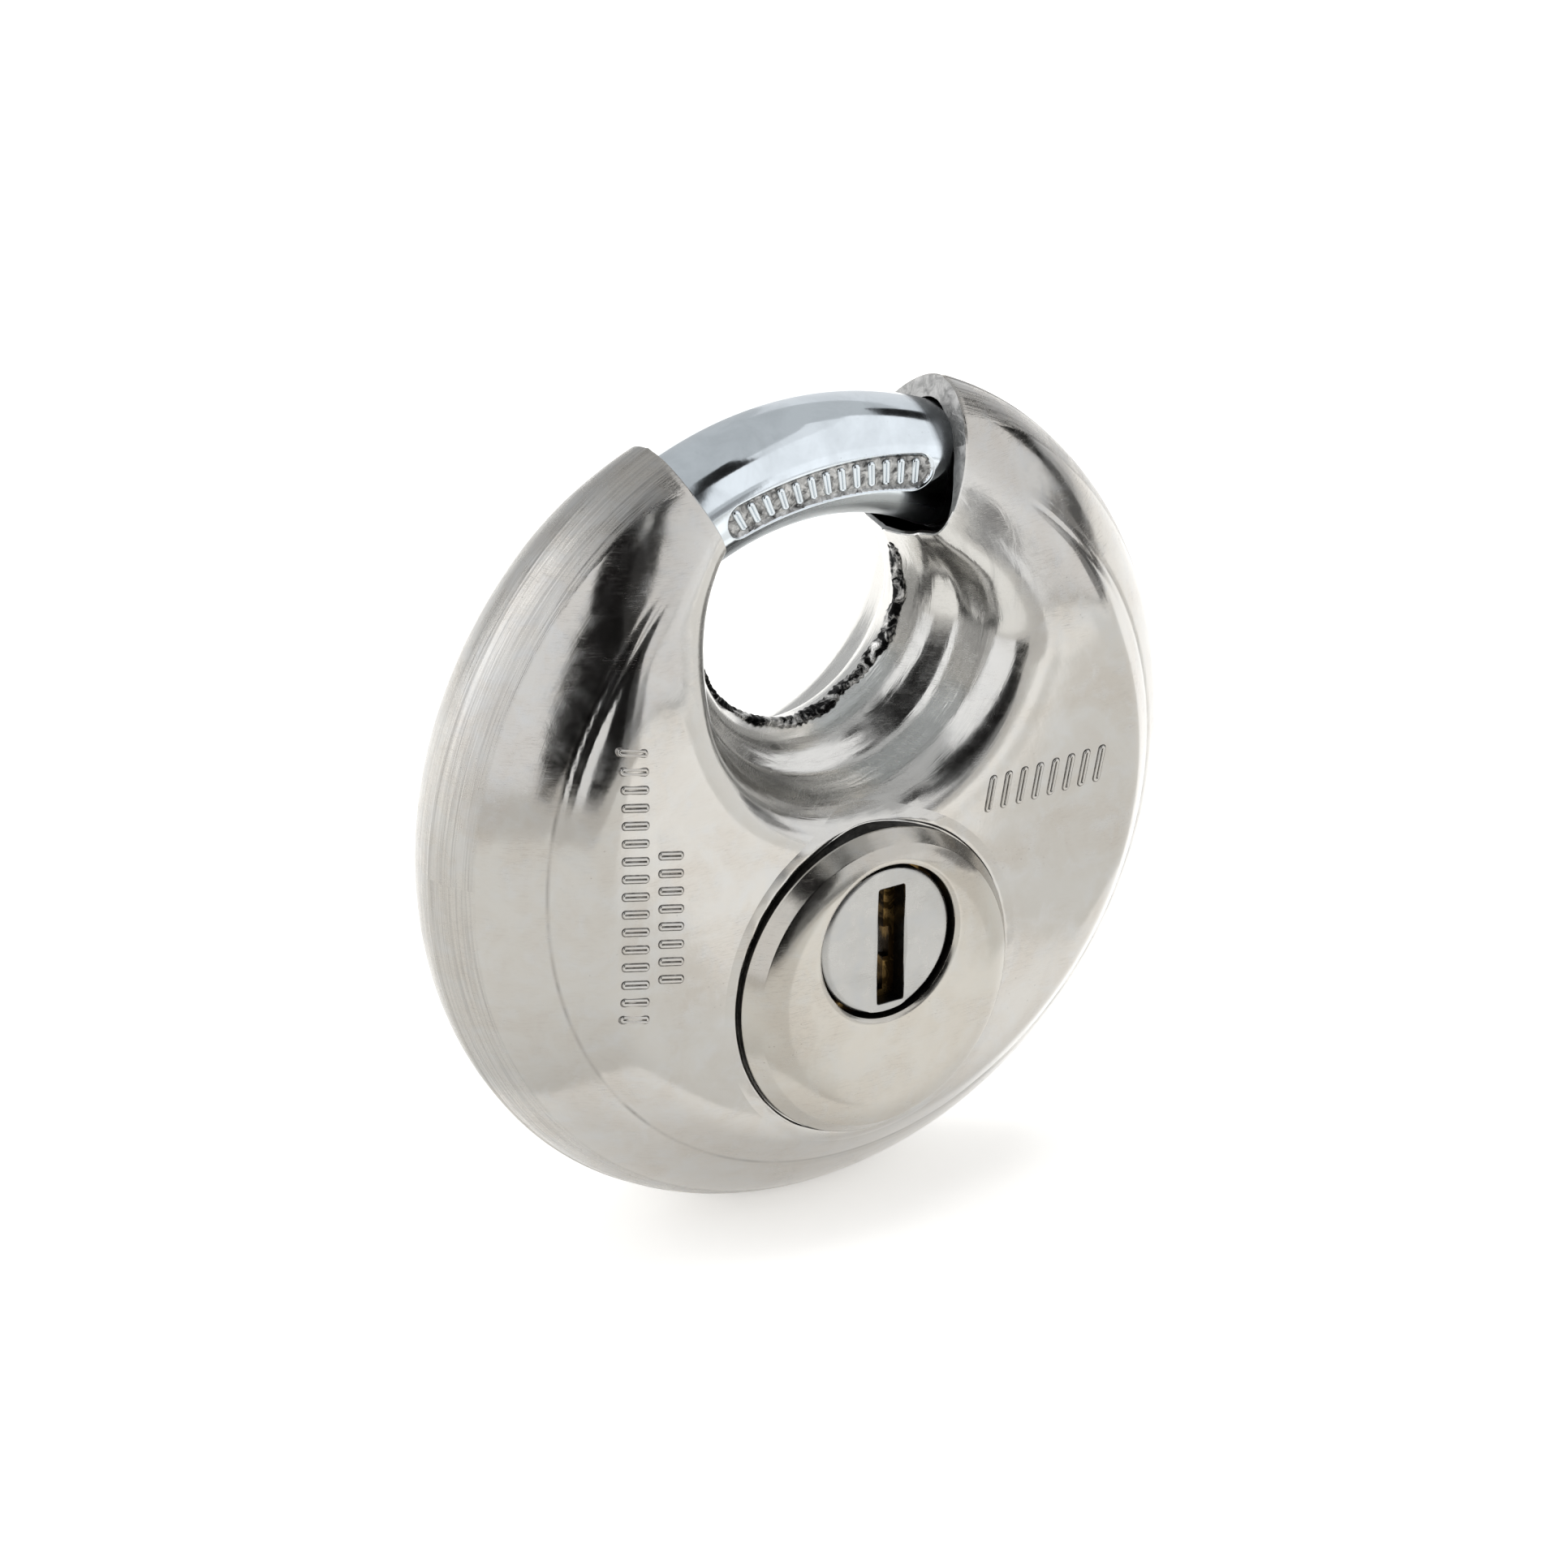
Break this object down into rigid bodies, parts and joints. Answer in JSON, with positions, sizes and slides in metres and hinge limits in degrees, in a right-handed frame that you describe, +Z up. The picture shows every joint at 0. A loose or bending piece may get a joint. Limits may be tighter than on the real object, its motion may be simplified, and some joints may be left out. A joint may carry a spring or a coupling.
{
  "type": "disc padlock",
  "caption": "Round steel disc padlock: two pressed shells on a seam, a hole with a curved shackle across it, and an off-centre keyed cylinder that turns the shackle.",
  "frame": {"origin": "middle of the shackle bar at its crown, on the seam plane, where the lock hangs; the disc's centre is 27.9 mm below it", "axes": "+Z up as the lock hangs, +Y out of the flat back, -Y out of the keyed front, +X to the right seen from the front"},
  "size_m": [0.07, 0.0255, 0.0678],
  "materials": {
    "shell_steel": "polished stainless, brushed rim",
    "guard_steel": "polished stainless",
    "cast_zinc": "as-cast zinc alloy",
    "screw_steel": "zinc plated",
    "plate_steel": "rolled",
    "housing_brass": "turned",
    "plug_brass": "turned",
    "pin_brass": "turned",
    "pin_steel": "turned",
    "hard_steel": "hardened",
    "spring_steel": "drawn wire",
    "face_steel": "satin",
    "shackle_chrome": "bright plated"
  },
  "bodies": {
    "case": {"front_shell": "shell_steel", "rear_shell": "shell_steel", "cylinder_guard": "guard_steel", "inner_body": "cast_zinc", "housing_screw": "screw_steel", "back_plate": "plate_steel", "plate_screws": "screw_steel", "shackle_stop": "plate_steel", "cylinder_housing": "housing_brass", "drill_pins": "hard_steel", "chamber_cover": "housing_brass", "pin_spring_1": "spring_steel", "pin_spring_2": "spring_steel", "pin_spring_3": "spring_steel", "pin_spring_4": "spring_steel", "pin_spring_5": "spring_steel"},
    "plug": {"plug": "plug_brass", "plug_face": "face_steel", "drive_sector": "hard_steel", "tail_clip": "spring_steel"},
    "shackle": {"shackle": "shackle_chrome", "shackle_rack": "hard_steel", "rack_rivets": "screw_steel"},
    "key_pin_1": {"key_pin_1": "pin_brass"},
    "driver_pin_1": {"driver_pin_1": "pin_steel"},
    "key_pin_2": {"key_pin_2": "pin_brass"},
    "driver_pin_2": {"driver_pin_2": "pin_steel"},
    "key_pin_3": {"key_pin_3": "pin_brass"},
    "driver_pin_3": {"driver_pin_3": "pin_steel"},
    "key_pin_4": {"key_pin_4": "pin_brass"},
    "driver_pin_4": {"driver_pin_4": "pin_steel"},
    "key_pin_5": {"key_pin_5": "pin_brass"},
    "driver_pin_5": {"driver_pin_5": "pin_steel"}
  },
  "joints": [
    {"name": "shackle_turn", "type": "hinge", "parent": "case", "child": "shackle", "pos_m": [0, 0, -0.0279], "axis": [0, -1, 0], "range_deg": [0, 56.25]},
    {"name": "key_turn", "type": "hinge", "parent": "case", "child": "plug", "pos_m": [0, 0, -0.0369], "axis": [0, -1, 0], "range_deg": [0, 90]},
    {"name": "key_pin_1_lift", "type": "slide", "parent": "plug", "child": "key_pin_1", "axis": [0, 0, 1], "range_m": [0, 0.0008]},
    {"name": "driver_pin_1_push", "type": "slide", "parent": "case", "child": "driver_pin_1", "axis": [0, 0, -1], "range_m": [0, 0.0014], "stiffness_N_per_m": 250, "deforming": ["pin_spring_1"]},
    {"name": "key_pin_2_lift", "type": "slide", "parent": "plug", "child": "key_pin_2", "axis": [0, 0, 1], "range_m": [0, 0.0008]},
    {"name": "driver_pin_2_push", "type": "slide", "parent": "case", "child": "driver_pin_2", "axis": [0, 0, -1], "range_m": [0, 0.0014], "stiffness_N_per_m": 250, "deforming": ["pin_spring_2"]},
    {"name": "key_pin_3_lift", "type": "slide", "parent": "plug", "child": "key_pin_3", "axis": [0, 0, 1], "range_m": [0, 0.0008]},
    {"name": "driver_pin_3_push", "type": "slide", "parent": "case", "child": "driver_pin_3", "axis": [0, 0, -1], "range_m": [0, 0.0014], "stiffness_N_per_m": 250, "deforming": ["pin_spring_3"]},
    {"name": "key_pin_4_lift", "type": "slide", "parent": "plug", "child": "key_pin_4", "axis": [0, 0, 1], "range_m": [0, 0.0008]},
    {"name": "driver_pin_4_push", "type": "slide", "parent": "case", "child": "driver_pin_4", "axis": [0, 0, -1], "range_m": [0, 0.0014], "stiffness_N_per_m": 250, "deforming": ["pin_spring_4"]},
    {"name": "key_pin_5_lift", "type": "slide", "parent": "plug", "child": "key_pin_5", "axis": [0, 0, 1], "range_m": [0, 0.0008]},
    {"name": "driver_pin_5_push", "type": "slide", "parent": "case", "child": "driver_pin_5", "axis": [0, 0, -1], "range_m": [0, 0.0014], "stiffness_N_per_m": 250, "deforming": ["pin_spring_5"]}
  ],
  "couplings": [
    {"joint": "key_turn", "follows": "shackle_turn", "ratio": 1.6}
  ]
}
